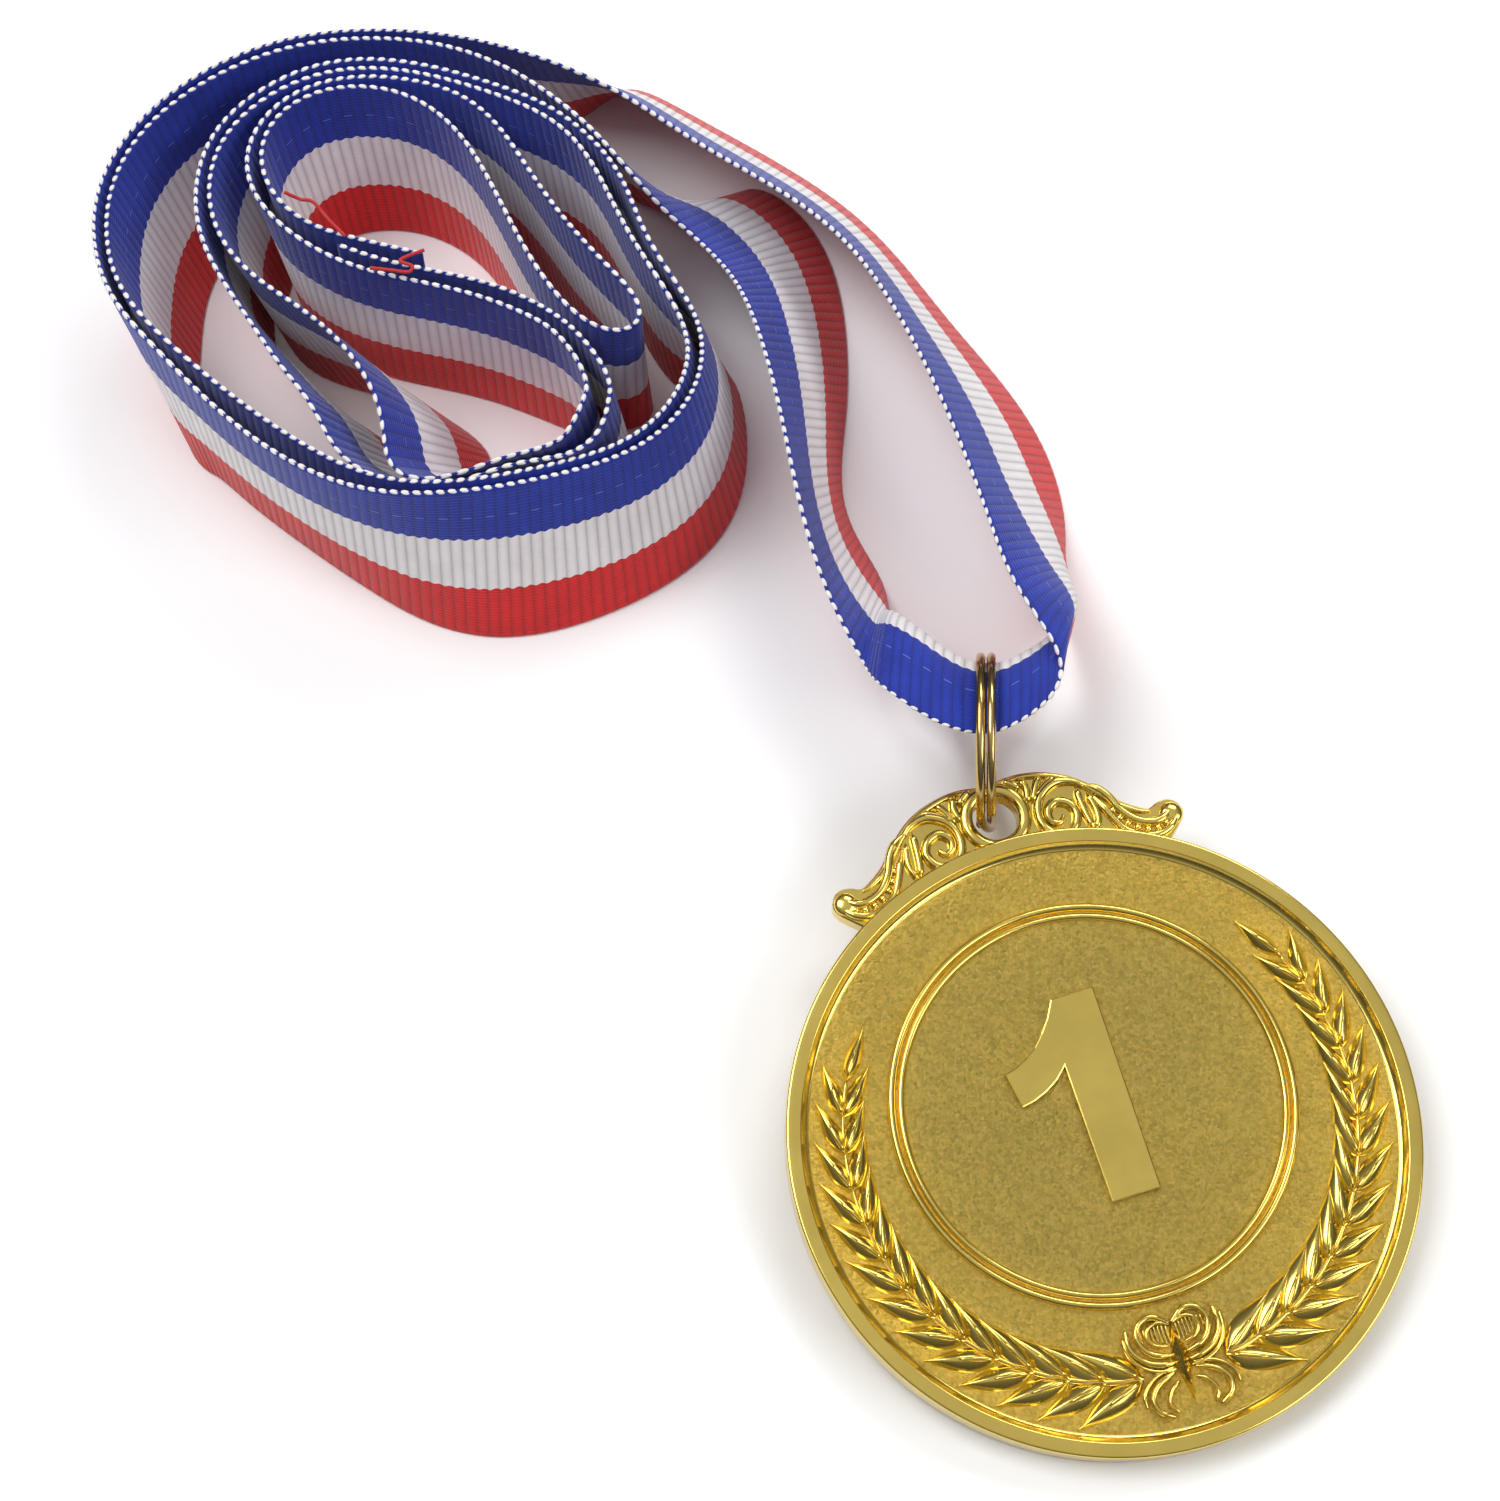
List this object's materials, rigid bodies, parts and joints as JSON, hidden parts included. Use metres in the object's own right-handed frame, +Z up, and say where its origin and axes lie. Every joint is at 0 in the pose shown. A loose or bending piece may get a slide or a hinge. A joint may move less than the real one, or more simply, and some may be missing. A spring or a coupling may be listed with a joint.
{
  "type": "award medal on a neck ribbon",
  "caption": "Gilt round award medal with a scrolled crown, hung by a split ring from a three-colour striped neck ribbon that is coiled on its edge.",
  "frame": {"origin": "centre of the bounding box's bottom face, on the table", "axes": "+Z up from the table; -Y towards the viewer and the medal's disc, +Y towards the coiled ribbon; +X to the viewer's right"},
  "size_m": [0.1424, 0.1675, 0.0244],
  "materials": {
    "medal_gold": "polished gold plate over a die-cast body, with a fine sandblasted grain in the recessed fields",
    "ring_gold": "polished round wire, slightly browner than the medal",
    "ribbon_cloth": "ribbed woven tape in three equal lengthwise stripes of blue, white and red, with a white picot dash on the blue selvage",
    "seam_thread": "matt red sewing thread"
  },
  "bodies": {
    "ribbon": {"ribbon_seam_end_and_inner_front": "ribbon_cloth", "ribbon_second_turn_outer": "ribbon_cloth", "ribbon_first_turn_front_outer": "ribbon_cloth", "ribbon_right_strand": "ribbon_cloth", "ribbon_bight": "ribbon_cloth", "ribbon_left_strand": "ribbon_cloth", "ribbon_first_turn_front_inner": "ribbon_cloth", "ribbon_second_turn_inner": "ribbon_cloth", "ribbon_third_turn": "ribbon_cloth", "ribbon_inner_fold_and_seam_end": "ribbon_cloth", "seam_thread_long_tail": "seam_thread", "seam_thread_curled_tail": "seam_thread"},
    "ring": {"split_ring": "ring_gold"},
    "medal": {"medal": "medal_gold"}
  },
  "joints": [
    {"name": "ring_turn", "type": "hinge", "parent": "ribbon", "child": "ring", "pos_m": [0.02769, -0.00956, 0.01065], "axis": [-0.9969, 0.0331, -0.0711], "range_deg": [0, 45]},
    {"name": "medal_swing", "type": "hinge", "parent": "ring", "child": "medal", "pos_m": [0.02757, -0.01832, 0.00827], "axis": [-0.9969, 0.0331, -0.0711], "range_deg": [0, 16]}
  ]
}
